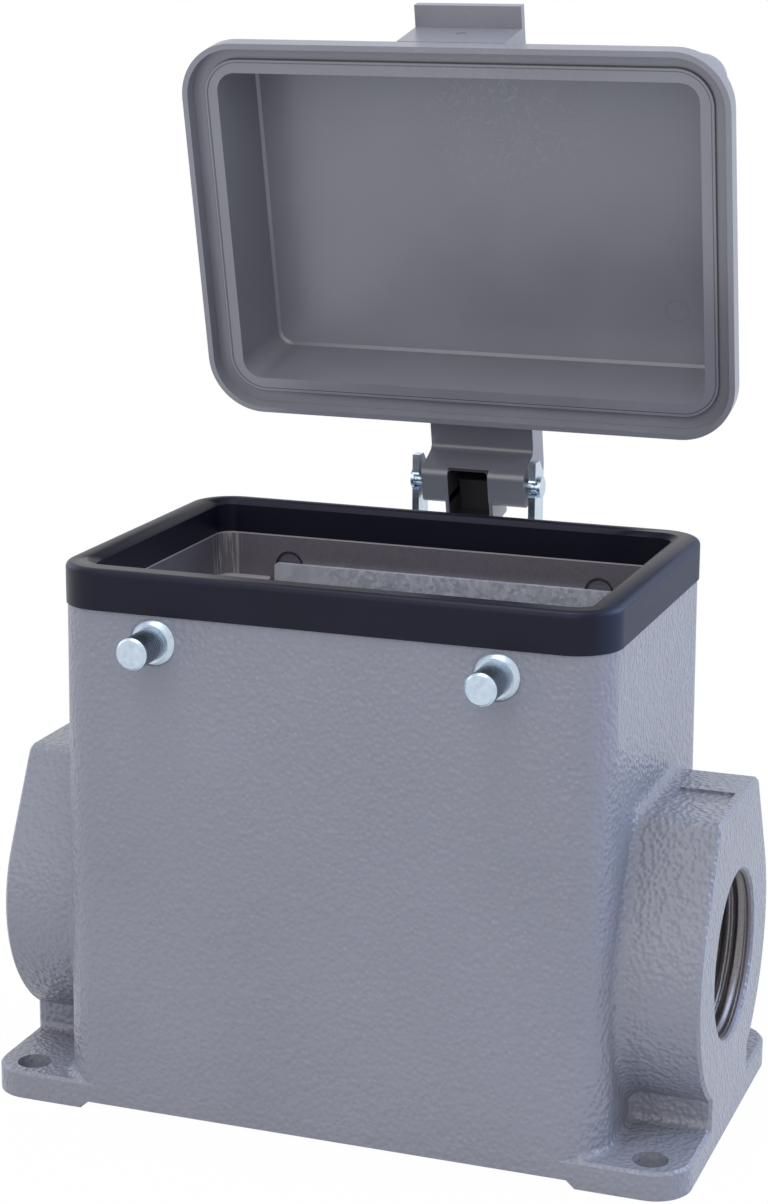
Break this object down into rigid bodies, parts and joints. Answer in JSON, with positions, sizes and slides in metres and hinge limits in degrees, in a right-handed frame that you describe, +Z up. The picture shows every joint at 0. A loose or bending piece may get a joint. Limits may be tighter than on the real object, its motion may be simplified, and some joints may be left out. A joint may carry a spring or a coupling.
{
  "type": "surface-mounting connector housing",
  "caption": "Cast surface-mounting housing of a heavy duty rectangular connector, with cable entries at both ends, locking pegs, rim seal and hinged cover.",
  "frame": {"origin": "middle of the four foot holes, on the face that the feet stand on", "axes": "+X along the housing towards the right cable entry, +Y from the front pegs to the hinge, +Z up out of the feet"},
  "size_m": [0.1712, 0.1378, 0.2556],
  "materials": {
    "coated_casting": "grey textured powder coat on a die casting",
    "rubber": "satin black",
    "turned_steel": "bright zinc plate, turned",
    "galvanised_sheet": "galvanised with spangle",
    "zinc_plated_sheet": "bright zinc plate, folded sheet",
    "cover_plastic": "satin moulded grey"
  },
  "bodies": {
    "housing": {"housing_body": "coated_casting", "rim_gasket": "rubber", "peg_front_left": "turned_steel", "peg_front_right": "turned_steel", "peg_back_left": "turned_steel", "peg_back_right": "turned_steel", "backing_plate": "galvanised_sheet", "hinge_bracket": "zinc_plated_sheet", "bracket_rivet_left": "turned_steel", "bracket_rivet_right": "turned_steel"},
    "cover": {"cover": "cover_plastic", "hinge_pin_left": "turned_steel", "hinge_pin_right": "turned_steel"}
  },
  "joints": [
    {"name": "cover_hinge", "type": "hinge", "parent": "housing", "child": "cover", "pos_m": [0, 0.06635, 0.1354], "axis": [-1, 0, 0], "range_deg": [-77.6, 22.4]}
  ]
}
